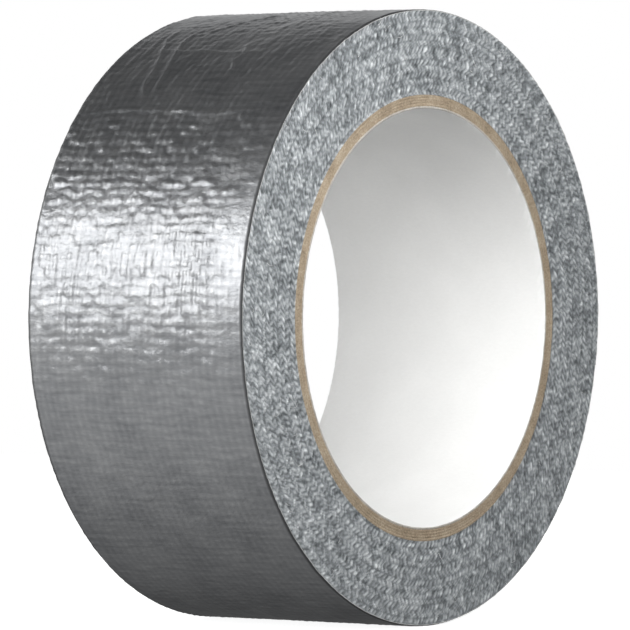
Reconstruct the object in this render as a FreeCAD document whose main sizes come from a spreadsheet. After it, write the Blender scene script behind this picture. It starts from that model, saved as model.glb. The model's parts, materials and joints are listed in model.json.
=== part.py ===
"""Duct tape roll: a spiral-wound paper core, the wound tape and the loose tail of its last turn.

Lengths are in millimetres and angles in degrees. The roll stands on its rim: the bore runs along
Y, +Z is up and the origin is the middle of the bore. The tape is one strip: a film on a cloth
scrim on an adhesive. Every turn lies one strip thickness further out than the turn under it, so
the last turn starts at a step, goes once round and ends in a free tail that lies over that step.

A turn is drawn as two half circles whose centres are a little to each side of the bore's axis.
They meet without a corner, and together they climb by exactly one strip thickness. Each outline
is drawn with its step on the +X axis, and the body is then turned to bring the step to its place.
"""
import FreeCAD, Part
import math
import os
import Sketcher

SHEET = "Dimensions"
DRIVING_DIMENSIONS = (
    # alias, value, what it is
    ("tape_width", 48.0, "width of the tape, and length of the core"),
    ("bore_diameter", 76.2, "inside of the core, a standard 3 inch core"),
    ("roll_diameter", 112.0, "outside of the full roll"),
    ("liner_thickness", 0.4, "smooth paper that lines the bore"),
    ("ply_thickness", 0.525, "one ply of kraft board in the core"),
    ("seam_gap", 0.3, "gap between the edges of a spiral-wound ply, along the bore"),
    ("seam_lead", 149.0, "distance along the bore in which a ply's seam goes once round"),
    ("seam_stagger", 100.0, "angle from one ply's seam to the seam of the next ply out"),
    ("adhesive_thickness", 0.08, "rubber adhesive under the scrim"),
    ("scrim_thickness", 0.05, "cloth scrim between adhesive and film"),
    ("film_thickness", 0.06, "polyethylene film on the outside"),
    ("tail_angle", 30.0, "arc of the loose tail, seen from the bore"),
    ("tail_end_angle", -10.0, "place of the cut end of the tape, from level, on the +X side"),
    ("tail_gap", 0.1, "space between the loose tail and the tape under and behind it"),
)
CORE_PLIES = 4
CUT_MARGIN = 1.0  # how far the tool that cuts a seam runs past the ply it cuts


def cell(alias):
    """A driving dimension, as an expression names it."""
    return f"{SHEET}.{alias}"


STRIP = f"({cell('adhesive_thickness')} + {cell('scrim_thickness')} + {cell('film_thickness')})"
LINER_RADIUS = f"({cell('bore_diameter')} / 2 + {cell('liner_thickness')})"
CORE_RADIUS = f"({LINER_RADIUS} + {CORE_PLIES} * {cell('ply_thickness')})"
# The turn under the last one starts this far out, so that the last turn's outside starts half a
# strip inside the nominal radius of the roll and ends half a strip outside it.
STEP_RADIUS = f"({cell('roll_diameter')} / 2 - 1.5 * {STRIP})"
CENTRE_OFFSET = f"{STRIP} / 4"
FIRST_HALF_EXTRA = f"{STRIP} / 4"
SECOND_HALF_EXTRA = f"3 * {STRIP} / 4"
PEEL_ANGLE = f"({cell('tail_angle')} + {cell('tail_gap')} / {STEP_RADIUS} * {180 / math.pi})"
STRIP_LAYERS = (
    # name, depth of its inner face above the turn under it, depth of its outer face
    ("adhesive", "0", cell("adhesive_thickness")),
    ("scrim", cell("adhesive_thickness"), f"{STRIP} - {cell('film_thickness')}"),
    ("film", f"{STRIP} - {cell('film_thickness')}", STRIP),
)

# How a sketch numbers the points of a curve, its own X axis and its own origin.
START, END, CENTRE = 1, 2, 3
X_AXIS = -1
ORIGIN = (-1, 1)

UP_FROM_PAGE = FreeCAD.Vector(0, 0, 1)

doc = FreeCAD.newDocument("DuctTapeRoll")
sub_parts = []


def value_of(expression):
    """The value of an expression, as the first guess for the sketch that it drives."""
    for alias, value, _ in DRIVING_DIMENSIONS:
        expression = expression.replace(cell(alias), str(value))
    return FreeCAD.Units.Quantity(expression).Value


def fill_sheet():
    """Write the driving dimensions into the spreadsheet, one row each."""
    sheet = doc.addObject("Spreadsheet::Sheet", SHEET)
    for row, (alias, value, meaning) in enumerate(DRIVING_DIMENSIONS, start=1):
        sheet.set(f"A{row}", alias)
        sheet.set(f"B{row}", str(value))
        sheet.set(f"C{row}", meaning)
        sheet.setAlias(f"B{row}", alias)
    doc.recompute()


def new_body(label, turned_by):
    """An empty body for one sub-part, turned about the bore from +X towards +Z."""
    body = doc.addObject("PartDesign::Body", label)
    body.Label = label
    turn = f"create(<<rotation>>; create(<<vector>>; 0; -1; 0); {turned_by})"
    body.setExpression("Placement", f"create(<<placement>>; create(<<vector>>; 0; 0; 0); {turn})")
    sub_parts.append(body)
    return body


def new_sketch(body, name, plane_role):
    """A sketch on one of the body's own origin planes."""
    sketch = body.newObject("Sketcher::SketchObject", f"{body.Name}_{name}")
    plane = next(item for item in body.Origin.OriginFeatures if item.Role == plane_role)
    sketch.AttachmentSupport = [(plane, "")]
    sketch.MapMode = "FlatFace"
    return sketch


def constrain(sketch, kind, *where):
    """Add a geometric constraint."""
    sketch.addConstraint(Sketcher.Constraint(kind, *where))


def drive(sketch, expression, kind, *where):
    """Add a dimension and bind it to the sheet."""
    guess = value_of(expression)
    if kind == "Angle":
        guess = math.radians(guess)
        expression = f"{expression} * 1 deg"
    index = sketch.addConstraint(Sketcher.Constraint(kind, *where, guess))
    sketch.setExpression(f"Constraints[{index}]", expression)


def draw_circle(sketch, radius):
    """A circle about the bore's axis."""
    centre = FreeCAD.Vector(0, 0, 0)
    circle = sketch.addGeometry(Part.Circle(centre, UP_FROM_PAGE, value_of(radius)))
    constrain(sketch, "Coincident", circle, CENTRE, *ORIGIN)
    drive(sketch, radius, "Radius", circle)


def draw_arc(sketch, centre_x, radius, start_degrees, end_degrees):
    """An arc with its centre on the X axis. Its radius is left for the caller to fix."""
    centre = FreeCAD.Vector(value_of(centre_x), 0, 0)
    full = Part.Circle(centre, UP_FROM_PAGE, value_of(radius))
    ends = (math.radians(start_degrees), math.radians(end_degrees))
    arc = sketch.addGeometry(Part.ArcOfCircle(full, *ends))
    constrain(sketch, "PointOnObject", arc, CENTRE, X_AXIS)
    drive(sketch, centre_x, "DistanceX", arc, CENTRE)
    return arc


def draw_turn(sketch, start_radius, last_degrees):
    """One clockwise turn from the +X axis, ending short of it by last_degrees.

    It returns the first half circle and the arc that follows it.
    """
    first_radius = f"{start_radius} + {FIRST_HALF_EXTRA}"
    first = draw_arc(sketch, f"-{CENTRE_OFFSET}", first_radius, 180, 360)
    drive(sketch, first_radius, "Radius", first)
    constrain(sketch, "PointOnObject", first, START, X_AXIS)
    constrain(sketch, "PointOnObject", first, END, X_AXIS)
    second_radius = f"{start_radius} + {SECOND_HALF_EXTRA}"
    second = draw_arc(sketch, CENTRE_OFFSET, second_radius, last_degrees, 180)
    constrain(sketch, "Coincident", second, END, first, START)
    return first, second


def draw_line(sketch, start, end):
    """A line between two points that other curves end at, each given as (curve, point)."""
    places = [sketch.getPoint(*point) for point in (start, end)]
    line = sketch.addGeometry(Part.LineSegment(*places))
    constrain(sketch, "Coincident", line, START, *start)
    constrain(sketch, "Coincident", line, END, *end)
    return line


def draw_radial_line(sketch, inner, outer, angle):
    """The cut face across a strip, pointing at the centre of its arcs."""
    line = draw_line(sketch, inner, outer)
    constrain(sketch, "PointOnObject", outer[0], CENTRE, line)
    drive(sketch, angle, "Angle", line)


def pad_across_width(body, sketch):
    """Extrude a sketch by the width of the tape, half to each side of the XZ plane."""
    pad = body.newObject("PartDesign::Pad", f"{body.Name}_pad")
    pad.Profile = sketch
    pad.SideType = "Symmetric"
    pad.setExpression("Length", cell("tape_width"))
    body.Tip = pad


def make_tube(label, inner_radius, thickness, turned_by):
    """A plain tube about the bore."""
    body = new_body(label, turned_by)
    sketch = new_sketch(body, "ring", "XZ_Plane")
    draw_circle(sketch, inner_radius)
    draw_circle(sketch, f"{inner_radius} + {thickness}")
    pad_across_width(body, sketch)
    return body


def cut_spiral_seam(body, inner_radius, thickness):
    """Cut the gap where the two edges of a spiral-wound ply meet."""
    left = f"{inner_radius} - {CUT_MARGIN}"
    across = f"{thickness} + {2 * CUT_MARGIN}"
    low = f"-{cell('tape_width')} / 2 - {CUT_MARGIN}"
    sketch = new_sketch(body, "seam", "XY_Plane")
    places = [
        FreeCAD.Vector(
            value_of(left) + along_x * value_of(across),
            value_of(low) + along_y * value_of(cell("seam_gap")),
            0,
        )
        for along_x, along_y in ((0, 0), (1, 0), (1, 1), (0, 1))
    ]
    lines = [
        sketch.addGeometry(Part.LineSegment(places[side], places[(side + 1) % 4]))
        for side in range(4)
    ]
    for side in range(4):
        constrain(sketch, "Coincident", lines[side], END, lines[(side + 1) % 4], START)
        constrain(sketch, ("Horizontal", "Vertical")[side % 2], lines[side])
    drive(sketch, left, "DistanceX", lines[0], START)
    drive(sketch, low, "DistanceY", lines[0], START)
    drive(sketch, across, "DistanceX", lines[0], START, lines[0], END)
    drive(sketch, cell("seam_gap"), "DistanceY", lines[1], START, lines[1], END)
    doc.recompute()
    whole = body.Shape.Volume
    seam = body.newObject("PartDesign::SubtractiveHelix", f"{body.Name}_gap")
    seam.Profile = sketch
    seam.ReferenceAxis = (sketch, ["V_Axis"])
    seam.Mode = "pitch-height-angle"
    seam.setExpression("Pitch", cell("seam_lead"))
    seam.setExpression("Height", f"{cell('tape_width')} + {2 * CUT_MARGIN}")
    body.Tip = seam
    doc.recompute()
    assert body.Shape.Volume < whole, f"{body.Label}: the seam cut nothing"


def make_core():
    """The smooth liner, then the kraft plies, each wound on the one before it."""
    make_tube("core_liner_ply", f"{cell('bore_diameter')} / 2", cell("liner_thickness"), "0")
    for ply in range(CORE_PLIES):
        inner_radius = f"{LINER_RADIUS} + {ply} * {cell('ply_thickness')}"
        turned_by = f"{ply} * {cell('seam_stagger')}"
        label = f"core_kraft_ply_{ply + 1}"
        body = make_tube(label, inner_radius, cell("ply_thickness"), turned_by)
        cut_spiral_seam(body, inner_radius, cell("ply_thickness"))


def make_wound_turns():
    """Every turn under the last one: stuck together, they are one block with a step outside."""
    body = new_body("wound_turns", cell("tail_end_angle"))
    sketch = new_sketch(body, "outline", "XZ_Plane")
    draw_circle(sketch, CORE_RADIUS)
    first, second = draw_turn(sketch, STEP_RADIUS, 0)
    constrain(sketch, "PointOnObject", second, START, X_AXIS)
    draw_line(sketch, (first, END), (second, START))
    pad_across_width(body, sketch)


def make_last_turn(layer, inner_depth, outer_depth):
    """One layer of the last turn, from the step to the line where the tail peels off."""
    body = new_body(f"outer_turn_{layer}", cell("tail_end_angle"))
    sketch = new_sketch(body, "outline", "XZ_Plane")
    last_degrees = value_of(PEEL_ANGLE)
    inner = draw_turn(sketch, f"{STEP_RADIUS} + {inner_depth}", last_degrees)
    outer = draw_turn(sketch, f"{STEP_RADIUS} + {outer_depth}", last_degrees)
    draw_line(sketch, (inner[0], END), (outer[0], END))
    draw_radial_line(sketch, (inner[1], START), (outer[1], START), PEEL_ANGLE)
    pad_across_width(body, sketch)


def make_tail(layer, inner_depth, outer_depth):
    """One layer of the loose tail, from the cut end on the X axis to the peel line."""
    body = new_body(f"tail_{layer}", cell("tail_end_angle"))
    sketch = new_sketch(body, "outline", "XZ_Plane")
    arcs = []
    for depth in (inner_depth, outer_depth):
        radius = f"{STEP_RADIUS} + {SECOND_HALF_EXTRA} + {depth} + {cell('tail_gap')}"
        arc = draw_arc(sketch, CENTRE_OFFSET, radius, 0, value_of(cell("tail_angle")))
        drive(sketch, radius, "Radius", arc)
        constrain(sketch, "PointOnObject", arc, START, X_AXIS)
        arcs.append(arc)
    draw_line(sketch, (arcs[0], START), (arcs[1], START))
    draw_radial_line(sketch, (arcs[0], END), (arcs[1], END), cell("tail_angle"))
    pad_across_width(body, sketch)


def check_document():
    """Stop if any feature failed, or any sub-part isn't one valid solid."""
    for item in doc.Objects:
        failed = {"Invalid", "Error"} & set(item.State)
        assert not failed, f"{item.Name}: {item.State}"
    for body in sub_parts:
        shape = body.Shape
        assert not shape.isNull() and shape.isValid(), f"{body.Label}: no valid shape"
        assert len(shape.Solids) == 1, f"{body.Label}: {len(shape.Solids)} solids"


def write_steps():
    """Write one STEP file for each sub-part, named after it."""
    os.makedirs("parts", exist_ok=True)
    for body in sub_parts:
        body.Shape.exportStep(f"parts/{body.Label}.step")
        print(f"{body.Label}: {body.Shape.Volume:.2f} cubic mm")


fill_sheet()
make_core()
make_wound_turns()
for layer_name, inner_face, outer_face in STRIP_LAYERS:
    make_last_turn(layer_name, inner_face, outer_face)
    make_tail(layer_name, inner_face, outer_face)
doc.recompute()
check_document()
write_steps()
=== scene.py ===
import json
import math

import bpy
import numpy as np
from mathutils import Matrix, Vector


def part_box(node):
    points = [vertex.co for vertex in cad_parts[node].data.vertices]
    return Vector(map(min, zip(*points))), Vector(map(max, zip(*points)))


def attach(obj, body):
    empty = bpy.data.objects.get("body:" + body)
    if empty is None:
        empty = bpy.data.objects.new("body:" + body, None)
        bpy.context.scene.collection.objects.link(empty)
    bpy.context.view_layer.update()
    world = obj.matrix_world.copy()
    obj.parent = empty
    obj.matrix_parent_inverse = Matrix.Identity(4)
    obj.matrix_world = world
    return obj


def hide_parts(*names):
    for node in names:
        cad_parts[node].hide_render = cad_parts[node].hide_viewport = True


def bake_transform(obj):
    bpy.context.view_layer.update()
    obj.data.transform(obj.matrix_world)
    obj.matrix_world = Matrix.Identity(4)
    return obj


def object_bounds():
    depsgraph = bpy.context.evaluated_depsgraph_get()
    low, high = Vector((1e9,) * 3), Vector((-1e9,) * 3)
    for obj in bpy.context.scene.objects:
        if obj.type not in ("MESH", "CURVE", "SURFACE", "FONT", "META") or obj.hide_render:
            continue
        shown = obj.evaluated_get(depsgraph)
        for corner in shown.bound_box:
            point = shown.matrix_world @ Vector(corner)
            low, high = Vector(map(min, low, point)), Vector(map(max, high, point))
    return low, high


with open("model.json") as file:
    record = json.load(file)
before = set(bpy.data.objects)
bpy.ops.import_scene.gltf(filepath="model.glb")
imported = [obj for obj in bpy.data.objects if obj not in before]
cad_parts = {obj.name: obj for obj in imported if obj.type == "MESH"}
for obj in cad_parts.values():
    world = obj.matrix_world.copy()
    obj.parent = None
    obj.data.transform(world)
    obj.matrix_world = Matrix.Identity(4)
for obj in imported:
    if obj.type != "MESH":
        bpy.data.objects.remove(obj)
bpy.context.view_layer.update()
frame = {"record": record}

# A duct tape roll, standing on its rim. The pieces are built in millimetres, in the frame's own
# axes: the bore runs along Y, +Z is up and the origin is the middle of the bore. A place on the
# roll is a radius and a polar angle, from +X towards +Z. The tape winds the other way, clockwise
# as the front end shows it, and "turned" is how far it has wound since the step where its last
# turn starts.

MM = 0.001
FULL_TURN = 2 * math.pi

# Sizes that the frame gives.
BORE = next(mount for mount in frame["record"]["mounts"] if mount["name"] == "core_bore")
BORE_RADIUS = BORE["dims"]["r_mm"]
HALF_WIDTH = BORE["dims"]["length_mm"] / 2
LINER_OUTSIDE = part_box("core_liner_ply")[1].x / MM
CORE_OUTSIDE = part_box("core_kraft_ply_4")[1].x / MM

# The tape, in millimetres.
ADHESIVE, SCRIM, FILM = 0.08, 0.05, 0.06
STRIP = ADHESIVE + SCRIM + FILM
ROLL_RADIUS = 56.0
STEP_RADIUS = ROLL_RADIUS - 1.5 * STRIP
STEP_POLAR = math.radians(-10)
TAIL_TURN = math.radians(30)

# Its plain-woven cloth, in millimetres. Weft yarns lie across the strip and warp yarns along it.
# The meshes of the film have the same count of steps from each yarn to the next.
WEFTS_PER_TURN = 204
WEFT_PITCH = FULL_TURN * STEP_RADIUS / WEFTS_PER_TURN
EDGE_ROUND = 0.5
WARPS = 30
WARP_PITCH = 2 * (HALF_WIDTH - EDGE_ROUND) / WARPS
STEPS_PER_YARN = 4

# The core, in millimetres.
KRAFT_PLIES = 4
PLY = (CORE_OUTSIDE - LINER_OUTSIDE) / KRAFT_PLIES
SEAM_LEAD = 149.0
SEAM_GAP = 0.3
SEAM_OPEN = 0.12  # what the saw's burr leaves of the gap
SEAM_STAGGER = math.radians(100)
SEAM_RUN_IN = 1.0  # the seams start this far outside the front face
SEAM_START = HALF_WIDTH + SEAM_RUN_IN - SEAM_GAP / 2


# ---------------------------------------------------------------- repeatable noise

COLUMN_MIX, ROW_MIX, SEED_MIX, SPREAD = 127.1, 311.7, 74.7, 43758.5453  # unrelated numbers


class Seed:
    """One seed for each thing that varies, so that no two vary together.

    An end face takes the four seeds after its own as well.
    """

    CREASES = 5
    YARN_BENDS, YARN_WAVES = 11, 12
    WEFT_SIZES, WARP_SIZES = 13, 14
    PRESSED, SLACK, PUCKERS = 15, 16, 17
    LONG_BENDS, LONG_WAVES = 18, 19
    SLIT_EDGE = 21
    NICKS, NOTCHES = 31, 32
    FUZZ = 41
    FRONT_FACE, BACK_FACE = 51, 61
    FRONT_LOOSE_ENDS, BACK_LOOSE_ENDS = 71, 81
    FRAY = 91


def lattice(column, row, seed):
    """A repeatable random number from 0 to 1 for each lattice point."""
    mixed = np.sin(column * COLUMN_MIX + row * ROW_MIX + seed * SEED_MIX) * SPREAD
    return mixed - np.floor(mixed)


def noise(across, along, seed):
    """Smooth noise from 0 to 1, one bump per unit."""
    column, row = np.floor(across), np.floor(along)
    right, up = across - column, along - row
    right = right * right * (3 - 2 * right)
    up = up * up * (3 - 2 * up)
    low = lattice(column, row, seed) * (1 - right) + lattice(column + 1, row, seed) * right
    high = lattice(column, row + 1, seed) * (1 - right) + lattice(column + 1, row + 1, seed) * right
    return low * (1 - up) + high * up


def ramp(value, low, high):
    """0 below low, 1 above high and smooth between them."""
    share = np.clip((value - low) / (high - low), 0, 1)
    return share * share * (3 - 2 * share)


def between(low, high, share):
    """low for a share of 0, high for a share of 1 and in proportion between them."""
    return low + (high - low) * share


# ---------------------------------------------------------------- surface relief

# Heights and widths are in millimetres. A place is divided by the size of the bumps of its noise.

CROWN_FULLNESS = 0.8


def crown(position):
    """The rounded back of evenly spaced yarns: 1 on each yarn and 0 between two."""
    return (0.5 + 0.5 * np.cos(FULL_TURN * position)) ** CROWN_FULLNESS


# Creases pressed into the film: where each starts and ends, as (along the strip, across it).
CREASES = (
    ((234.0, 18.0), (207.0, 10.5)),
    ((231.0, 13.0), (210.0, 9.0)),
    ((223.8, 22.0), (222.0, -12.0)),
    ((206.2, 23.0), (205.5, -16.0)),
    ((226.0, -3.0), (215.0, -5.5)),
    ((244.0, 2.0), (229.0, 11.0)),
    ((60.0, -4.0), (66.0, 22.0)),
    ((290.0, -20.0), (303.0, 9.0)),
    ((20.0, 12.0), (34.0, -9.0)),
)
CREASE_HEIGHT = 0.17
CREASE_WIDTH = 0.4
CREASE_WANDER = 1.5
CREASE_BENDS = 5  # in the length of one
CREASE_STARTS, CREASE_STOPS = (-0.05, 0.2), (0.8, 1.05)  # the fades at its ends, as shares of its length


def crease_relief(along, across):
    """The height of the creases."""
    height = np.zeros_like(along)
    for (start_along, start_across), (end_along, end_across) in CREASES:
        run = np.array((end_along - start_along, end_across - start_across))
        length = np.hypot(*run)
        share = ((along - start_along) * run[0] + (across - start_across) * run[1]) / length**2
        aside = (along - start_along) * run[1] - (across - start_across) * run[0]
        bends = noise(share * CREASE_BENDS, share * 0 + length, Seed.CREASES)
        aside = aside / length + CREASE_WANDER * (bends - 0.5)
        fade = ramp(share, *CREASE_STARTS) * (1 - ramp(share, *CREASE_STOPS))
        height += CREASE_HEIGHT * fade * np.exp(-((aside / CREASE_WIDTH) ** 2))
    return height


WEAVE_HEIGHT = 0.155
WEFT_SHARE, WARP_SHARE = 0.9, 0.8  # of that height
WEFT_SIZES, WARP_SIZES = (0.65, 1.35), (0.6, 1.4)  # from yarn to yarn
WEFT_TAPER, WARP_TAPER = 2, 1.6  # how fast a yarn sinks to where it passes under the other kind
SOFT_MEETING = 3  # higher is sharper, where a weft's crown meets a warp's
PRESSED = (0.45, 1.25)  # how hard the film is pressed onto the cloth, from place to place
SLACK_HEIGHT = 0.1
PUCKER_HEIGHT = 0.17
SLACK_LIFT = 0.06  # keeps the film's two faces apart where the relief dips
CALM_RIM, CALM_SHARE = 8.0, 0.55  # near the front rim the cloth shows less
# How much the film puckers and shows its cloth, at places along the strip.
LOOSENESS = (
    (0.0, 0.85), (80.0, 0.6), (110.0, 0.35), (145.0, 0.35), (159.0, 1.1), (172.0, 1.3),
    (184.0, 1.0), (195.0, 1.4), (204.0, 1.5), (210.0, 0.9), (250.0, 0.8), (300.0, 0.85),
)


def weave_relief(along, across):
    """Film pressed onto plain-woven cloth: its height, and how much of a crown each point is."""
    weft = along / WEFT_PITCH
    warp = (across + HALF_WIDTH - EDGE_ROUND) / WARP_PITCH
    over = np.cos(math.pi * weft) * np.cos(math.pi * warp)
    weft_size = between(*WEFT_SIZES, lattice(np.round(weft), np.round(warp / 2), Seed.WEFT_SIZES))
    warp_size = between(*WARP_SIZES, lattice(np.round(warp), np.round(weft / 2), Seed.WARP_SIZES))
    weft_crown = crown(weft) * weft_size * WEFT_SHARE * (0.5 + 0.5 * over) ** WEFT_TAPER
    warp_crown = crown(warp) * warp_size * WARP_SHARE * (0.5 - 0.5 * over) ** WARP_TAPER
    cloth = (weft_crown**SOFT_MEETING + warp_crown**SOFT_MEETING) ** (1 / SOFT_MEETING)
    pressed = between(*PRESSED, noise(along / 15, across / 11, Seed.PRESSED))
    calm = 1 - CALM_SHARE * ramp(-across, HALF_WIDTH - CALM_RIM, HALF_WIDTH - 1)
    loose = np.interp(along, *zip(*LOOSENESS))
    slack = SLACK_HEIGHT * (noise(along / 5, across / 4, Seed.SLACK) - 0.5)
    puckers = PUCKER_HEIGHT * (noise(along / 1.5, across / 1.45, Seed.PUCKERS) - 0.5)
    height = (WEAVE_HEIGHT * cloth * pressed + puckers) * calm * loose + slack + SLACK_LIFT
    return height, cloth


YARN_BEND, YARN_WAVE = 0.9, 0.7


def yarn_drift(along, across):
    """How far the yarns lie from their even places, along the strip and across it."""
    bends = noise(along / 4, across / 2.8, Seed.YARN_BENDS)
    long_bends = noise(along / 15, across / 12, Seed.LONG_BENDS)
    waves = noise(along / 4, across / 6, Seed.YARN_WAVES)
    long_waves = noise(along / 14, across / 14, Seed.LONG_WAVES)
    return YARN_BEND * (bends + long_bends - 1), YARN_WAVE * (waves + long_waves - 1)


CLUMP = 6 * STRIP  # the cut yarns stick together over a few turns of the tape
YARN_END_PITCH = 1.15
END_SLANT, END_LEAN, END_WANDER = 0.8, 1.0, 0.8  # how far the yarn ends stray, in pitches
END_SIZES = (0.4, 1.1)
END_WEIGHT, GRAIN_WEIGHT, TUFT_WEIGHT, PIT_DEPTH = 0.6, 0.4, 0.2, 0.05
SLIT_RELIEF = 0.26
SLIT_LEVEL = 0.62  # the crown height that lies level with the end face


def slit_crown(radius, polar, seed):
    """The cut yarn ends on an end face: 1 on a crown and 0 in a pit between crowns."""
    turned = np.mod(STEP_POLAR - polar, FULL_TURN) / FULL_TURN
    lift = (radius - CORE_OUTSIDE) / CLUMP - turned
    layer = np.floor(lift)
    within = lift - layer
    middle = CORE_OUTSIDE + CLUMP * (layer + 0.5 + turned)
    arc = math.pi * (middle**2 - CORE_OUTSIDE**2) / CLUMP
    level, upright = radius * np.cos(polar), radius * np.sin(polar)
    slant = np.where(np.mod(layer, 2) > 0, END_SLANT, -END_SLANT)
    lean = slant + END_LEAN * (noise(level / 5, upright / 5, seed) - 0.5)
    wander = END_WANDER * noise(level / 2.2, upright / 2.2, seed + 1)
    phase = arc / YARN_END_PITCH + lean * (within - 0.5) + wander
    size = between(*END_SIZES, lattice(np.round(phase), layer, seed + 2))
    ends = np.sin(math.pi * within) ** 0.5 * crown(phase) * size
    grain = noise(level / 0.9, upright / 0.75, seed + 3)
    tufts = noise(level / 1.3, upright / 1.2, seed + 4)
    height = END_WEIGHT * ends + GRAIN_WEIGHT * grain + TUFT_WEIGHT * tufts - PIT_DEPTH
    return np.clip(height, 0, 1)


# ---------------------------------------------------------------- mesh building


def loop_faces(columns, points, closed):
    """Quads that join columns of points, each column a closed loop. Open ends get one face each."""
    column = np.arange(columns if closed else columns - 1)[:, None]
    point = np.arange(points)[None, :]
    following = (column + 1) % columns
    ahead = (point + 1) % points
    corners = (
        column * points + point,
        following * points + point,
        following * points + ahead,
        column * points + ahead,
    )
    faces = np.stack([np.broadcast_to(c, (len(column), points)) for c in corners], -1)
    faces = faces.reshape(-1, 4).tolist()
    if not closed:
        first = list(range(points))
        last = [(columns - 1) * points + index for index in first]
        faces += [first, last[::-1]]
    return faces


def polar_points(radius, polar, across):
    """Points on the roll, in millimetres."""
    return np.stack([radius * np.cos(polar), across, radius * np.sin(polar)], -1)


SHARP_CORNER = math.radians(62)


def make_piece(name, places, faces, material, attributes=()):
    """A smooth mesh object from points in millimetres."""
    mesh = bpy.data.meshes.new(name)
    mesh.from_pydata((places.reshape(-1, 3) * MM).tolist(), [], faces)
    mesh.validate()
    for label, values in attributes:
        kind = "FLOAT" if values.ndim == places.ndim - 1 else "FLOAT_VECTOR"
        layer = mesh.attributes.new(label, kind, "POINT")
        layer.data.foreach_set("value" if kind == "FLOAT" else "vector", values.ravel())
    mesh.shade_smooth()
    mesh.set_sharp_from_angle(angle=SHARP_CORNER)
    piece = bpy.data.objects.new(name, mesh)
    bpy.context.collection.objects.link(piece)
    mesh.materials.append(material)
    return piece


def turn_faces_out(piece):
    """Make every face look outwards."""
    bpy.context.view_layer.objects.active = piece
    bpy.ops.object.mode_set(mode="EDIT")
    bpy.ops.mesh.select_all(action="SELECT")
    bpy.ops.mesh.normals_make_consistent(inside=False)
    bpy.ops.object.mode_set(mode="OBJECT")


THREAD_SIDES = 3
THREAD_TIP = 0.4  # of its thickness at the root
OFF_AXIS = (0.3, 0.5, 0.8)  # a direction that no thread runs in


def thread(path, thickness):
    """A tapering tube along a path of points, as its own points and faces."""
    ahead = np.gradient(path, axis=0)
    aside = np.cross(ahead, OFF_AXIS)
    aside /= np.linalg.norm(aside, axis=1, keepdims=True)
    upright = np.cross(ahead, aside)
    upright /= np.linalg.norm(upright, axis=1, keepdims=True)
    reach = thickness / 2 * np.linspace(1, THREAD_TIP, len(path))[:, None]
    corners = [
        path + reach * (math.cos(angle) * aside + math.sin(angle) * upright)
        for angle in np.linspace(0, FULL_TURN, THREAD_SIDES, endpoint=False)
    ]
    return np.stack(corners, 1).reshape(-1, 3), loop_faces(len(path), THREAD_SIDES, closed=False)


def add_threads(places, faces, paths, thickness):
    """Points and faces with a thread added along each path."""
    places = [places.reshape(-1, 3)]
    count = len(places[0])
    for path in paths:
        points, sides = thread(path, thickness)
        faces = faces + [[corner + count for corner in side] for side in sides]
        places.append(points)
        count += len(points)
    return np.concatenate(places), faces


def strip_position(turned, across):
    """Where a point of the last turn lies along the strip, as the vector that materials read."""
    along = STEP_RADIUS * turned
    return np.stack([along, across, np.zeros_like(along)], -1)


# Places across the strip: a few to each yarn, and closer ones where the slit edge rounds off.
EDGE_COLUMNS = -HALF_WIDTH + np.array((0.0, 0.07, 0.2))
INNER_COLUMNS = np.linspace(
    -HALF_WIDTH + EDGE_ROUND, HALF_WIDTH - EDGE_ROUND, WARPS * STEPS_PER_YARN + 1
)
FINE_COLUMNS = np.concatenate([EDGE_COLUMNS, INNER_COLUMNS, -EDGE_COLUMNS[::-1]])
PLAIN_COLUMNS = np.array((-HALF_WIDTH, HALF_WIDTH))
EDGE_DROP = 0.12
EDGE_CALM = 0.8  # the share of its relief that the film loses on the rounded edge
RAGGED, RAGGED_SIZE = 0.14, 0.9  # the unevenness of a slit edge
NICK_SIZE, NOTCH_SIZE = 0.8, 5  # across the strip, where it was torn
DRIFT_RIM, DRIFT_FREE = 2.0, 3.0  # the yarns' drift builds up over these, from a rim and an end
YARN_THICKNESS = 0.14


class Stretch:
    """A length of the strip, with its start, its end and the depth of its tear as angles."""

    def __init__(self, start, end, steps, torn=0.0):
        self.start, self.end, self.steps, self.torn = start, end, steps, torn

    def turned(self, across):
        """How far round the places of every step lie. A torn end is uneven across the strip."""
        share = np.linspace(0, 1, self.steps)[:, None]
        nicks = noise(across / NICK_SIZE, across * 0, Seed.NICKS)
        notches = noise(across / NOTCH_SIZE, across * 0, Seed.NOTCHES)
        tear = self.torn * (nicks + notches)
        return self.start + share * (self.end - tear - self.start)

    def free(self, angle):
        """0 at both ends and 1 away from them."""
        reach = DRIFT_FREE / STEP_RADIUS
        past_start = ramp(angle, self.start, self.start + reach)
        return past_start * (1 - ramp(angle, self.end - reach, self.end))


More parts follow.
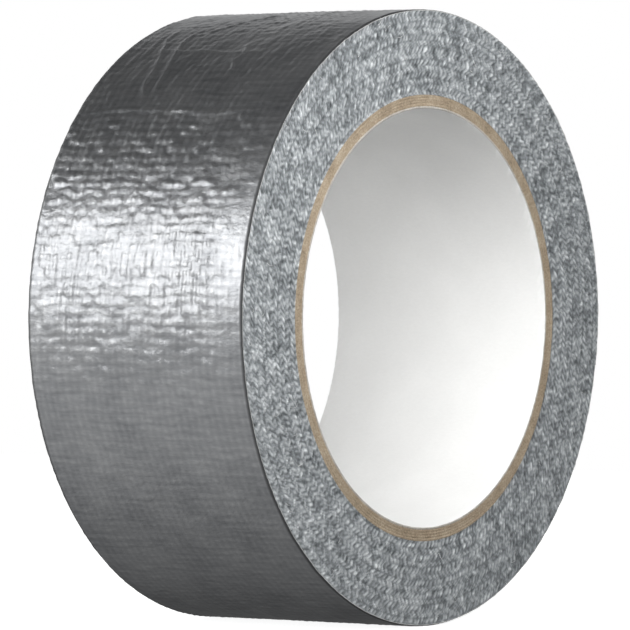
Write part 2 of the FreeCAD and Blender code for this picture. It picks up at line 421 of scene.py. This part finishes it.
def strip_layer(name, stretch, outer, inner, material, paths=()):
    """One layer of the strip, closed all round, with a loose thread along each path.

    outer and inner are (columns across, depth above the turn under it, relief function or None).
    """
    places, where, crowns = [], [], []
    for side, (columns, depth, relief) in ((1, outer), (-1, inner)):
        across = np.broadcast_to(columns[::side], (stretch.steps, len(columns)))
        angle = stretch.turned(across)
        along = STEP_RADIUS * angle
        past_round = np.clip((np.abs(across) - HALF_WIDTH + EDGE_ROUND) / EDGE_ROUND, 0, 1)
        height, cloth = relief(along, across) if relief else (0 * along, 0 * along)
        onwards, aside = yarn_drift(along, across) if relief else (0 * along, 0 * along)
        inside = 1 - ramp(np.abs(across), HALF_WIDTH - DRIFT_RIM, HALF_WIDTH - EDGE_ROUND)
        angle = angle + onwards * inside * stretch.free(angle) / STEP_RADIUS
        if side > 0:
            drop = EDGE_DROP * (1 - np.sqrt(1 - past_round**2))
            height = height * (1 - EDGE_CALM * past_round) - drop
        ragged = noise(along / RAGGED_SIZE, across * 0 + np.sign(across), Seed.SLIT_EDGE) - 0.5
        ragged = RAGGED * ragged * past_round
        radius = STEP_RADIUS + STRIP * angle / FULL_TURN + depth + height
        places.append(polar_points(radius, STEP_POLAR - angle, across + ragged + aside * inside))
        where.append(strip_position(angle, across))
        crowns.append(cloth)
    places, where, crowns = (np.concatenate(part, 1) for part in (places, where, crowns))
    faces = loop_faces(places.shape[0], places.shape[1], closed=False)
    places, faces = add_threads(places, faces, paths, YARN_THICKNESS)
    piece = make_piece(name, places, faces, material, strip_attributes(places, where, crowns))
    turn_faces_out(piece)
    return piece


def strip_attributes(places, where, crowns):
    """What the materials read at each point. Threads, which come last, are all crown."""
    threads = len(places) - crowns.size
    where = np.concatenate([where.reshape(-1, 3), np.zeros((threads, 3))])
    crowns = np.concatenate([crowns.ravel(), np.ones(threads)])
    return ("strip_mm", where), ("crown", crowns)


# ---------------------------------------------------------------- materials


class Shader:
    """A material under construction, ending in one Principled shader."""

    def __init__(self, name):
        self.material = bpy.data.materials.new(name)
        self.material.use_nodes = True
        self.tree = self.material.node_tree
        self.surface = self.tree.nodes["Principled BSDF"]

    def add(self, kind, inputs=(), **settings):
        """A new node. An input's value is a number, a colour or another node's output."""
        node = self.tree.nodes.new(kind)
        for key, value in settings.items():
            setattr(node, key, value)
        self.wire(node, dict(inputs))
        return node

    def wire(self, node, inputs):
        """Set or link a node's inputs."""
        for key, value in inputs.items():
            if isinstance(value, bpy.types.NodeSocket):
                self.tree.links.new(value, node.inputs[key])
            else:
                node.inputs[key].default_value = value

    def math(self, operation, first, second=0.0, clamp=False):
        """A Math node's output."""
        inputs = {0: first, 1: second}
        return self.add("ShaderNodeMath", inputs, operation=operation, use_clamp=clamp).outputs[0]

    def attribute(self, name, output):
        """A mesh attribute."""
        return self.add("ShaderNodeAttribute", attribute_name=name).outputs[output]

    def object_place(self):
        """The point's own place, in millimetres."""
        place = self.add("ShaderNodeTexCoord").outputs["Object"]
        inputs = {0: place, 3: 1 / MM}
        return self.add("ShaderNodeVectorMath", inputs, operation="SCALE").outputs[0]

    def scaled(self, vector, scale):
        """A vector scaled along each axis."""
        inputs = {0: vector, 1: scale}
        return self.add("ShaderNodeVectorMath", inputs, operation="MULTIPLY").outputs[0]

    def noise(self, vector, scale=1.0, detail=2.0, roughness=0.5):
        """Smooth noise from 0 to 1."""
        inputs = {"Vector": vector, "Scale": scale, "Detail": detail, "Roughness": roughness}
        return self.add("ShaderNodeTexNoise", inputs).outputs["Fac"]

    def colours(self, factor, *stops):
        """A colour ramp. Each stop is (position, colour)."""
        node = self.add("ShaderNodeValToRGB", {"Fac": factor})
        elements = node.color_ramp.elements
        while len(elements) < len(stops):
            elements.new(0.5)
        for element, (position, colour) in zip(elements, stops):
            element.position = position
            element.color = (*colour, 1)
        return node.outputs["Color"]

    def total(self, *parts):
        """The sum of values, each given as (value, weight)."""
        total = 0.0
        for value, weight in parts:
            total = self.math("ADD", total, self.math("MULTIPLY", value, weight))
        return total

    def mix(self, factor, first, second):
        """A mix of two colours."""
        node = self.add("ShaderNodeMix", data_type="RGBA")
        names = ("Factor_Float", "A_Color", "B_Color")
        sockets = {socket.identifier: index for index, socket in enumerate(node.inputs)}
        values = (factor, first, second)
        self.wire(node, {sockets[name]: value for name, value in zip(names, values)})
        return node.outputs[2]

    def range(self, value, low, high):
        """A value from 0 to 1, mapped to a range."""
        inputs = {"Value": value, "To Min": low, "To Max": high}
        return self.add("ShaderNodeMapRange", inputs).outputs["Result"]

    def bump(self, height, distance_mm, strength=1.0, normal=None):
        """A normal from a height from 0 to 1, on top of another normal if one is given."""
        inputs = {"Height": height, "Distance": distance_mm * MM, "Strength": strength}
        if normal:
            inputs["Normal"] = normal
        return self.add("ShaderNodeBump", inputs).outputs["Normal"]

    def finish(self, **inputs):
        """Set the surface's inputs, named with underscores for spaces."""
        self.wire(self.surface, {key.replace("_", " "): value for key, value in inputs.items()})
        return self.material


def woven_height(shader, strip):
    """The plain weave as a height from 0 to 1, for film whose mesh doesn't have it."""
    axes = shader.add("ShaderNodeSeparateXYZ", {0: strip}).outputs

    def waves(axis, pitch):
        half_turns = shader.math("MULTIPLY", axes[axis], math.pi / pitch)
        wave = shader.math("COSINE", half_turns)
        return wave, shader.math("POWER", wave, 2.0)

    weft, weft_crown = waves("X", WEFT_PITCH)
    warp, warp_crown = waves("Y", WARP_PITCH)
    over = shader.math("MULTIPLY", weft, warp)
    weft_over = shader.math("MULTIPLY", weft_crown, shader.range(over, 0.5, 1.0))
    warp_over = shader.math("MULTIPLY", warp_crown, shader.range(over, 0.4, -0.2))
    return shader.math("MAXIMUM", weft_over, warp_over)


SHADE_AND_ROUGH_BAND, SHADE_AND_ROUGH_FADE = 0.75, 0.5  # where the film is rougher along its slit edges, and darker there as painted shade


def film_material(name, woven=False):
    """Silver polyethylene film: satin, mostly metallic, scuffed and finely creased, with painted shade
    darkening its slit edges.
    """
    shader = Shader(name)
    strip = shader.attribute("strip_mm", "Vector")
    streaks = shader.noise(shader.scaled(strip, (1.3, 0.16, 1)), detail=4)
    cockle = shader.noise(shader.scaled(strip, (1.5, 1.1, 1)), detail=4, roughness=0.55)
    patches = shader.noise(shader.scaled(strip, (0.09, 0.11, 1)), detail=3)
    crown_height = woven_height(shader, strip) if woven else shader.attribute("crown", "Fac")
    tone = shader.total((patches, 0.5), (streaks, 0.5), (crown_height, 0.22))
    colour = shader.colours(
        tone, (0.27, (0.27, 0.28, 0.295)), (0.52, (0.43, 0.44, 0.455)), (0.77, (0.56, 0.57, 0.58))
    )
    across = shader.add("ShaderNodeSeparateXYZ", {0: strip}).outputs["Y"]
    past_edge = shader.math("SUBTRACT", shader.math("ABSOLUTE", across), HALF_WIDTH - SHADE_AND_ROUGH_BAND)
    edge = shader.math("MULTIPLY", past_edge, 1 / SHADE_AND_ROUGH_FADE, clamp=True)
    # painted shade: the film turns near-black along its slit edges, standing in for the dark line at the
    # rounded rim
    colour = shader.mix(edge, colour, (0.17, 0.173, 0.177, 1))
    roughness = shader.total((shader.range(cockle, 0.27, 0.43), 1.0), (edge, 0.3))
    normal = shader.bump(cockle, 0.08, 0.9)
    if woven:
        normal = shader.bump(crown_height, WEAVE_HEIGHT / 2, 0.5, normal)
    return shader.finish(Base_Color=colour, Metallic=0.96, Roughness=roughness, Normal=normal)


def slit_edge_material():
    """The cut edges of the wound tape: light yarn ends among darker film and adhesive."""
    shader = Shader("slit_tape_edges")
    place = shader.object_place()
    crown_height = shader.attribute("crown", "Fac")
    grain = shader.noise(place, scale=2.6, detail=3, roughness=0.6)
    patches = shader.noise(place, scale=0.13, detail=2)
    axes = shader.add("ShaderNodeSeparateXYZ", {0: place}).outputs
    level = shader.scaled(place, (1, 0, 1))
    radius = shader.add("ShaderNodeVectorMath", {0: level}, operation="LENGTH").outputs["Value"]
    polar = shader.math("ARCTAN2", axes["Z"], axes["X"])
    turns = shader.total((radius, 1 / STRIP), (polar, 1 / FULL_TURN))
    lines = shader.math("PINGPONG", turns, 0.5)
    specks = shader.noise(place, scale=1.1, detail=1)
    tone = shader.total(
        (crown_height, 0.55), (grain, 0.25), (specks, 0.35), (patches, 0.12), (lines, 0.1)
    )
    colour = shader.colours(
        tone, (0.36, (0.04, 0.046, 0.05)), (0.56, (0.20, 0.218, 0.228)),
        (0.76, (0.46, 0.485, 0.50)), (0.95, (0.84, 0.87, 0.88))
    )
    height = shader.total((grain, 1.0), (lines, 0.5))
    return shader.finish(
        Base_Color=colour, Metallic=0.1, Roughness=shader.range(grain, 0.4, 0.65),
        Normal=shader.bump(height, 0.09, 0.8),
    )


def board_material(name, dark, middle, light):
    """Grey-brown board, with the fibres that a saw leaves on its cut edge."""
    shader = Shader(name)
    place = shader.object_place()
    fibres = shader.noise(place, scale=3.2, detail=5, roughness=0.65)
    patches = shader.noise(place, scale=0.35, detail=2)
    tone = shader.total((fibres, 0.7), (patches, 0.3))
    colour = shader.colours(tone, (0.3, dark), (0.5, middle), (0.7, light))
    return shader.finish(
        Base_Color=colour, Roughness=shader.range(patches, 0.8, 0.95),
        Normal=shader.bump(fibres, 0.12, 0.9),
    )


def liner_material():
    """Smooth white paper, with faint fibres and a little cloudiness."""
    shader = Shader("liner_paper")
    place = shader.object_place()
    fibres = shader.noise(shader.scaled(place, (1.0, 0.45, 1.0)), scale=2.5, detail=5)
    clouds = shader.noise(place, scale=0.09, detail=3)
    tone = shader.total((fibres, 0.4), (clouds, 0.6))
    colour = shader.colours(tone, (0.3, (0.80, 0.80, 0.79)), (0.7, (0.86, 0.86, 0.85)))
    return shader.finish(
        Base_Color=colour, Roughness=shader.range(fibres, 0.55, 0.7),
        Normal=shader.bump(fibres, 0.012, 0.7),
    )


def adhesive_material():
    """Grey rubber adhesive, glossy and tacky, with the cloth showing through it."""
    shader = Shader("tape_adhesive")
    strip = shader.attribute("strip_mm", "Vector")
    crown_height = shader.attribute("crown", "Fac")
    smears = shader.noise(shader.scaled(strip, (0.5, 0.2, 1)), detail=4)
    tone = shader.total((crown_height, 0.6), (smears, 0.5))
    colour = shader.colours(tone, (0.2, (0.36, 0.37, 0.365)), (0.9, (0.62, 0.63, 0.61)))
    return shader.finish(
        Base_Color=colour, Roughness=shader.range(smears, 0.22, 0.5),
        Normal=shader.bump(smears, 0.04, 0.7),
    )


def yarn_material():
    """Off-white cotton and polyester yarn."""
    shader = Shader("scrim_yarn")
    place = shader.object_place()
    fibres = shader.noise(place, scale=6.0, detail=3)
    colour = shader.colours(fibres, (0.3, (0.55, 0.56, 0.56)), (0.7, (0.82, 0.82, 0.80)))
    return shader.finish(
        Base_Color=colour, Roughness=shader.range(fibres, 0.75, 0.95),
        Normal=shader.bump(fibres, 0.03, 0.7),
    )


# ---------------------------------------------------------------- the core

CORE_STEPS = 420
EDGE_STEPS = 25  # across the roll
WALL_STEPS = 5  # through a ply
FUZZ_HEIGHT, FUZZ_SIZE, FUZZ_LEVEL = 0.09, 0.4, 0.6
LAP_SHARE = 0.006  # of a turn
ON_FACE = 1e-6  # a point nearer than this to a face lies on it


def seam_polar(across, start):
    """Where a ply's spiral seam lies, for each place across the core."""
    return start - FULL_TURN * (across + SEAM_START) / SEAM_LEAD


def core_ply(name, inside, outside, seam_start, gap, edge_round, materials, lap=0.0):
    """One spiral-wound ply: a tube that is open along its seam, with rounded cut edges.

    materials are those of its faces round the bore and of its cut edges. lap is how far the
    inside steps out along the seam, where the strip lies on itself.
    """
    middle = (inside + outside) / 2
    wall = outside - inside
    along_wall = np.linspace(-HALF_WIDTH, HALF_WIDTH, EDGE_STEPS)
    depth = np.linspace(0, 1, WALL_STEPS)
    front = [(inside + wall * share, -HALF_WIDTH) for share in depth]
    outer = [(outside, across) for across in along_wall[1:-1]]
    back = [(outside - wall * share, HALF_WIDTH) for share in depth]
    inner = [(inside, across) for across in along_wall[-2:0:-1]]
    profile = np.array(front + outer + back + inner)
    radius, across = (np.broadcast_to(part, (CORE_STEPS, len(profile))) for part in profile.T)
    half_gap = gap / SEAM_LEAD * math.pi
    share = np.linspace(0, 1, CORE_STEPS)[:, None]
    start = seam_polar(across, seam_start) - half_gap
    polar = start - share * (FULL_TURN - 2 * half_gap)
    level, upright = radius * np.cos(polar), radius * np.sin(polar)
    cut = np.abs(across) > HALF_WIDTH - ON_FACE
    rounding = edge_round * np.abs((radius - middle) / wall * 2) ** 3
    fuzz = FUZZ_HEIGHT * (noise(level / FUZZ_SIZE, upright / FUZZ_SIZE, Seed.FUZZ) - FUZZ_LEVEL)
    across = across + np.where(cut, np.sign(across) * (fuzz - rounding), 0)
    bore_side = np.abs(radius - inside) < ON_FACE
    radius = radius + lap * np.where(bore_side, 1 - ramp(share, 0, LAP_SHARE), 0)
    places = polar_points(radius, polar, across)
    faces = loop_faces(*places.shape[:2], closed=False)
    piece = make_piece(name, places, faces, materials[0])
    piece.data.materials.append(materials[1])
    order = np.arange(len(faces)) % len(profile)
    rim = len(depth) - 1
    back_rim = len(front) + len(outer)
    on_edge = (order < rim) | ((order >= back_rim) & (order < back_rim + rim))
    piece.data.polygons.foreach_set("material_index", on_edge.astype(int))
    turn_faces_out(piece)
    return piece


LINER_SEAM = math.radians(236)  # on the part of the bore that the front view doesn't look into
LINER_GAP, LINER_LAP = 0.02, 0.07
LINER_ROUND, KRAFT_ROUND = 0.06, 0.05


def make_core(liner, liner_edge, kraft):
    """The liner and the kraft plies round it."""
    piece = core_ply(
        "core_liner", BORE_RADIUS, LINER_OUTSIDE, LINER_SEAM, LINER_GAP, LINER_ROUND,
        (liner, liner_edge), lap=LINER_LAP,
    )
    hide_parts("core_liner_ply")
    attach(piece, "roll")
    for ply in range(KRAFT_PLIES):
        inside = LINER_OUTSIDE + ply * PLY
        piece = core_ply(
            f"kraft_ply_{ply + 1}", inside, inside + PLY, ply * SEAM_STAGGER, SEAM_OPEN,
            KRAFT_ROUND, (kraft, kraft),
        )
        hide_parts(f"core_kraft_ply_{ply + 1}")
        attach(piece, "roll")


# ---------------------------------------------------------------- the tape

BLOCK_STEPS = 940
BLOCK_RINGS = 45
BLOCK_COLUMNS = 5
BLOCK_EDGE, BLOCK_START = 0.2, 0.3  # the end face turns rough over these, from its two circles
LAST_RING = 0.1  # in from the outside
SKIN_CROWN = 0.5
SLIT_SLOT, FILM_SLOT, YARN_SLOT = 0, 1, 2  # the block's materials
LOOSE_ENDS = 150  # on each end face
LOOSE_POINTS = 5
LOOSE_THICKNESS = 0.09
LOOSE_LENGTHS = (0.5, 1.8)
LOOSE_MARGINS = (0.4, 0.2)  # from the core and from the rim
LOOSE_ROOT, LOOSE_RISE, LOOSE_ARCH = 0.12, 0.3, 2.2


def loose_yarn_ends(sign, seed):
    """Paths of the cut yarn ends that stand out of an end face, most of them near the rim."""
    share = np.linspace(0, 1, LOOSE_POINTS)[:, None]
    nearest, furthest = CORE_OUTSIDE + LOOSE_MARGINS[0], STEP_RADIUS - LOOSE_MARGINS[1]
    paths = []
    for index in range(LOOSE_ENDS):
        place, turn, size, aim = (lattice(index, row, seed) for row in range(4))
        radius = between(nearest, furthest, math.sqrt(place))
        polar = FULL_TURN * turn
        heading = FULL_TURN * aim
        length = between(*LOOSE_LENGTHS, size**2)
        level = length * share * np.cos(heading + share)
        upright = length * share * np.sin(heading + share)
        rise = LOOSE_RISE * length * np.sin(LOOSE_ARCH * share)
        out = sign * (HALF_WIDTH - LOOSE_ROOT + rise)
        root = (radius * math.cos(polar), radius * math.sin(polar))
        paths.append(np.concatenate([root[0] + level, out, root[1] + upright], 1))
    return paths


def make_wound_turns(edges, film, yarn):
    """All the turns under the last one. Its end faces are the slit edges of the tape."""
    turned = np.linspace(0, FULL_TURN, BLOCK_STEPS, endpoint=False)[:, None]
    rings = np.linspace(CORE_OUTSIDE, STEP_RADIUS - LAST_RING, BLOCK_RINGS)
    outside = STEP_RADIUS + STRIP * turned / FULL_TURN
    polar = STEP_POLAR - turned

    def end_face(sign, seed):
        radius = np.concatenate([np.broadcast_to(rings, (BLOCK_STEPS, BLOCK_RINGS)), outside], 1)
        height = slit_crown(radius, polar, seed)
        rough = ramp(radius, CORE_OUTSIDE, CORE_OUTSIDE + BLOCK_START)
        rough = rough * (1 - ramp(radius, outside - BLOCK_EDGE, outside))
        across = sign * (HALF_WIDTH + SLIT_RELIEF * (height - SLIT_LEVEL) * rough)
        return polar_points(radius, polar, across), height

    front, front_crown = end_face(-1, Seed.FRONT_FACE)
    back, back_crown = end_face(1, Seed.BACK_FACE)
    columns = np.linspace(-HALF_WIDTH, HALF_WIDTH, BLOCK_COLUMNS + 2)[1:-1]
    skin = polar_points(
        np.broadcast_to(outside, (BLOCK_STEPS, BLOCK_COLUMNS)), polar,
        np.broadcast_to(columns, (BLOCK_STEPS, BLOCK_COLUMNS)),
    )
    skin_crown = np.full(skin.shape[:2], SKIN_CROWN)
    places = np.concatenate([front, skin, back[:, ::-1]], 1)
    crowns = np.concatenate([front_crown, skin_crown, back_crown[:, ::-1]], 1)
    where = strip_position(np.broadcast_to(turned - FULL_TURN, crowns.shape), places[..., 1])
    point_count = places.shape[1]
    faces = loop_faces(*places.shape[:2], closed=True)
    order = np.arange(len(faces)) % point_count
    skin_start = front.shape[1] - 1
    on_skin = (order >= skin_start) & (order <= skin_start + BLOCK_COLUMNS)
    paths = loose_yarn_ends(-1, Seed.FRONT_LOOSE_ENDS) + loose_yarn_ends(1, Seed.BACK_LOOSE_ENDS)
    places, faces = add_threads(places, faces, paths, LOOSE_THICKNESS)
    attributes = strip_attributes(places, where, crowns)
    piece = make_piece("wound_tape", places, faces, edges, attributes)
    piece.data.materials.append(film)
    piece.data.materials.append(yarn)
    kinds = np.full(len(faces), YARN_SLOT)
    kinds[: len(order)] = np.where(on_skin, FILM_SLOT, SLIT_SLOT)
    piece.data.polygons.foreach_set("material_index", kinds)
    turn_faces_out(piece)
    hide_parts("wound_turns")
    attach(piece, "roll")


def yarn_steps(angle):
    """Steps along an angle of the strip, with the same count from each weft to the next."""
    return round(angle / FULL_TURN * WEFTS_PER_TURN * STEPS_PER_YARN) + 1


CREASE_CROWN = 0.8
UNDERSIDE_SHARE = 0.3  # of the film's relief
UNDERSIDE_LIFT = 0.02


def film_relief(along, across):
    """The film's whole relief."""
    height, cloth = weave_relief(along, across)
    creases = crease_relief(along, across)
    return height + creases, np.maximum(cloth, CREASE_CROWN * creases / CREASE_HEIGHT)


def underside_relief(along, across):
    """The adhesive follows the cloth, the other way round."""
    height, cloth = weave_relief(along, across)
    return -UNDERSIDE_SHARE * height, cloth


# The faces of the strip's layers: columns across, depth above the turn under it, and relief.
FILM_TOP = (FINE_COLUMNS, STRIP, film_relief)
SCRIM_TOP = (PLAIN_COLUMNS, STRIP - FILM, None)
ADHESIVE_TOP = (PLAIN_COLUMNS, ADHESIVE, None)
HIDDEN_UNDERSIDE = (PLAIN_COLUMNS, 0, None)
TAIL_UNDERSIDE = (FINE_COLUMNS, UNDERSIDE_LIFT, underside_relief)
PLAIN_STEPS = 400


def make_last_turn(film, yarn, adhesive):
    """The last turn, from its step to the line where the tail peels off."""
    end = FULL_TURN - TAIL_TURN
    layers = (
        ("film", yarn_steps(end), FILM_TOP, SCRIM_TOP, film),
        ("scrim", PLAIN_STEPS, SCRIM_TOP, ADHESIVE_TOP, yarn),
        ("adhesive", PLAIN_STEPS, ADHESIVE_TOP, HIDDEN_UNDERSIDE, adhesive),
    )
    for layer, steps, outer, inner, material in layers:
        stretch = Stretch(0, end, steps)
        piece = strip_layer(f"last_turn_{layer}", stretch, outer, inner, material)
        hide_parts(f"outer_turn_{layer}")
        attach(piece, "roll")


TORN_DEPTH = 0.5
FRAY_ROOT = 1.5 * TORN_DEPTH  # in from the end of the tape
FRAY_POINTS = 6
FRAY_LENGTHS = (0.6, 2.2)
FRAY_PLACES = (0.25, 0.75)  # in a yarn's own pitch
FRAY_LIFTS = (0.25, 0.65)
FRAY_SWAY = 1.2


def frayed_ends():
    """Paths of the warp yarns that stick out where the tape was torn off."""
    share = np.linspace(0, 1, FRAY_POINTS)[:, None]
    paths = []
    for index in range(WARPS):
        place, size, bend, lift = (lattice(index, row, Seed.FRAY) for row in range(4))
        across = INNER_COLUMNS[0] + (index + between(*FRAY_PLACES, place)) * WARP_PITCH
        length = between(*FRAY_LENGTHS, size**2) + TORN_DEPTH * STEP_RADIUS / ROLL_RADIUS
        angle = FULL_TURN - FRAY_ROOT / ROLL_RADIUS + share * length / STEP_RADIUS
        radius = STEP_RADIUS + STRIP + ADHESIVE + between(*FRAY_LIFTS, lift) * share
        aside = across + FRAY_SWAY * (bend - 0.5) * share**2
        paths.append(polar_points(radius, STEP_POLAR - angle, aside)[:, 0])
    return paths


def make_tail(film, yarn, adhesive):
    """The loose end of the tape, from the end of the last turn round to its torn end."""
    layers = (
        ("film", FILM_TOP, SCRIM_TOP, film, ()),
        ("scrim", SCRIM_TOP, ADHESIVE_TOP, yarn, frayed_ends()),
        ("adhesive", ADHESIVE_TOP, TAIL_UNDERSIDE, adhesive, ()),
    )
    torn = TORN_DEPTH / ROLL_RADIUS
    stretch = Stretch(FULL_TURN - TAIL_TURN, FULL_TURN, yarn_steps(TAIL_TURN), torn)
    for layer, outer, inner, material, paths in layers:
        name, slot = f"tail_end_{layer}", f"tape_{layer}"
        piece = strip_layer(name, stretch, outer, inner, material, paths)
        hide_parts(f"tail_{layer}")
        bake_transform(piece)


# ---------------------------------------------------------------- camera, light and floor

CAMERA_AZIMUTH = math.radians(-53.69)
CAMERA_ELEVATION = math.radians(0.73)
CAMERA_DISTANCE = 9.17 * 2 * ROLL_RADIUS * MM
CAMERA_LENS = 318.3
CAMERA_SHIFT = (-0.0106, 0.0032)


def direction(azimuth, elevation):
    """A unit vector from the object, with azimuth 0 towards -Y and 90 towards +X, in radians."""
    flat = math.cos(elevation)
    return Vector((math.sin(azimuth) * flat, -math.cos(azimuth) * flat, math.sin(elevation)))


def make_camera():
    """The camera of the front view."""
    camera = bpy.data.objects.new("camera", bpy.data.cameras.new("camera"))
    bpy.context.collection.objects.link(camera)
    camera.data.lens = CAMERA_LENS
    camera.data.shift_x, camera.data.shift_y = CAMERA_SHIFT
    camera.location = direction(CAMERA_AZIMUTH, CAMERA_ELEVATION) * CAMERA_DISTANCE
    camera.rotation_euler = (-camera.location).to_track_quat("-Z", "Y").to_euler()
    bpy.context.scene.camera = camera


def make_light(name, azimuth, elevation, distance, size, power, mirrored=True):
    """A soft box that faces the roll. Angles are in degrees and sizes in metres."""
    lamp = bpy.data.lights.new(name, "AREA")
    lamp.shape = "RECTANGLE"
    lamp.size, lamp.size_y = size
    lamp.energy = power
    light = bpy.data.objects.new(name, lamp)
    bpy.context.collection.objects.link(light)
    light.location = direction(math.radians(azimuth), math.radians(elevation)) * distance
    light.rotation_euler = (-light.location).to_track_quat("-Z", "Y").to_euler()
    light.visible_glossy = mirrored


# How bright the studio is from straight down (0) to straight up (1), to the left of the roll and
# to the right of it.
LEFT_SHADES = (
    (0.0, 0.12), (0.1, 0.25), (0.15, 0.37), (0.25, 0.46), (0.4, 0.48), (0.5, 0.48), (0.62, 0.4),
    (0.76, 0.22), (0.88, 0.03), (1.0, 0.05),
)
RIGHT_SHADES = (
    (0.0, 0.10), (0.1, 0.11), (0.25, 0.04), (0.4, 0.12), (0.48, 0.5), (0.5, 0.85), (0.64, 0.8),
    (0.76, 0.26), (0.85, 0.02), (1.0, 0.04),
)
SIDES_MEET = (-0.2, 0.6)  # from the first place to the second, left gives way to right


def make_world():
    """White behind the roll, and a soft studio round it."""
    world = bpy.data.worlds.new("studio")
    bpy.context.scene.world = world
    world.use_nodes = True
    nodes, links = world.node_tree.nodes, world.node_tree.links
    place = nodes.new("ShaderNodeTexCoord")
    axes = nodes.new("ShaderNodeSeparateXYZ")
    links.new(place.outputs["Generated"], axes.inputs[0])

    def share(axis, low, high):
        node = nodes.new("ShaderNodeMapRange")
        node.inputs["From Min"].default_value = low
        node.inputs["From Max"].default_value = high
        links.new(axes.outputs[axis], node.inputs["Value"])
        return node.outputs["Result"]

    def surroundings(stops):
        shades = nodes.new("ShaderNodeValToRGB")
        elements = shades.color_ramp.elements
        while len(elements) < len(stops):
            elements.new(0.5)
        for element, (position, level) in zip(elements, stops):
            element.position = position
            element.color = (level, level, level, 1)
        links.new(share("Z", -1, 1), shades.inputs["Fac"])
        background = nodes.new("ShaderNodeBackground")
        links.new(shades.outputs["Color"], background.inputs["Color"])
        return background.outputs[0]

    def mixed(factor, first, second):
        mix = nodes.new("ShaderNodeMixShader")
        for index, value in enumerate((factor, first, second)):
            links.new(value, mix.inputs[index])
        return mix.outputs[0]

    around = mixed(share("X", *SIDES_MEET), surroundings(LEFT_SHADES), surroundings(RIGHT_SHADES))
    white = nodes["Background"]
    white.inputs["Color"].default_value = (1, 1, 1, 1)
    seen = nodes.new("ShaderNodeLightPath").outputs["Is Camera Ray"]
    links.new(mixed(seen, around, white.outputs[0]), nodes["World Output"].inputs["Surface"])


FLOOR_REACH = 0.6  # in metres, from the middle
FLOOR_GAP = 0.02 * MM
FLOOR_GLOW = 0.86


def make_floor():
    """A plain pale floor under the roll."""
    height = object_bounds()[0].z - FLOOR_GAP
    mesh = bpy.data.meshes.new("floor")
    turns = ((-1, -1), (1, -1), (1, 1), (-1, 1))
    corners = [(FLOOR_REACH * level, FLOOR_REACH * across, height) for level, across in turns]
    mesh.from_pydata(corners, [], [(0, 1, 2, 3)])
    floor = bpy.data.objects.new("floor", mesh)
    bpy.context.collection.objects.link(floor)
    shader = Shader("pale_floor")
    shader.finish(
        Base_Color=(0.9, 0.9, 0.9, 1), Roughness=0.9,
        Emission_Color=(1, 1, 1, 1), Emission_Strength=FLOOR_GLOW,
    )
    mesh.materials.append(shader.material)
    floor.visible_diffuse = False
    floor.visible_glossy = False
    floor.visible_shadow = False


LIGHTS = (
    # name, azimuth, elevation, distance, size, power, and False if it doesn't show in reflections
    ("side_box", -128, 17, 1.1, (0.45, 0.5), 2.4),
    ("key_box", -50, 42, 0.2, (0.18, 0.18), 0.54, False),
    ("fill_box", -44, 28, 0.9, (0.5, 0.5), 0.6),
    ("front_box", 15, 8, 1.0, (0.5, 0.5), 0.85),
    ("top_box", 20, 75, 1.2, (0.8, 0.8), 1.0),
    ("back_box", 180, 5, 0.8, (0.5, 0.5), 1.3),
)

film = film_material("silver_film")
yarn = yarn_material()
adhesive = adhesive_material()
kraft = board_material("kraft_board", (0.2, 0.15, 0.095), (0.37, 0.295, 0.207), (0.53, 0.45, 0.34))
liner_edge = board_material("liner_edge", (0.30, 0.27, 0.23), (0.46, 0.43, 0.39), (0.6, 0.57, 0.53))
make_core(liner_material(), liner_edge, kraft)
make_wound_turns(slit_edge_material(), film_material("wound_film", woven=True), yarn)
make_last_turn(film, yarn, adhesive)
make_tail(film, yarn, adhesive)
make_camera()
make_world()
make_floor()
for light in LIGHTS:
    make_light(*light)
bpy.context.scene.view_settings.view_transform = "Standard"
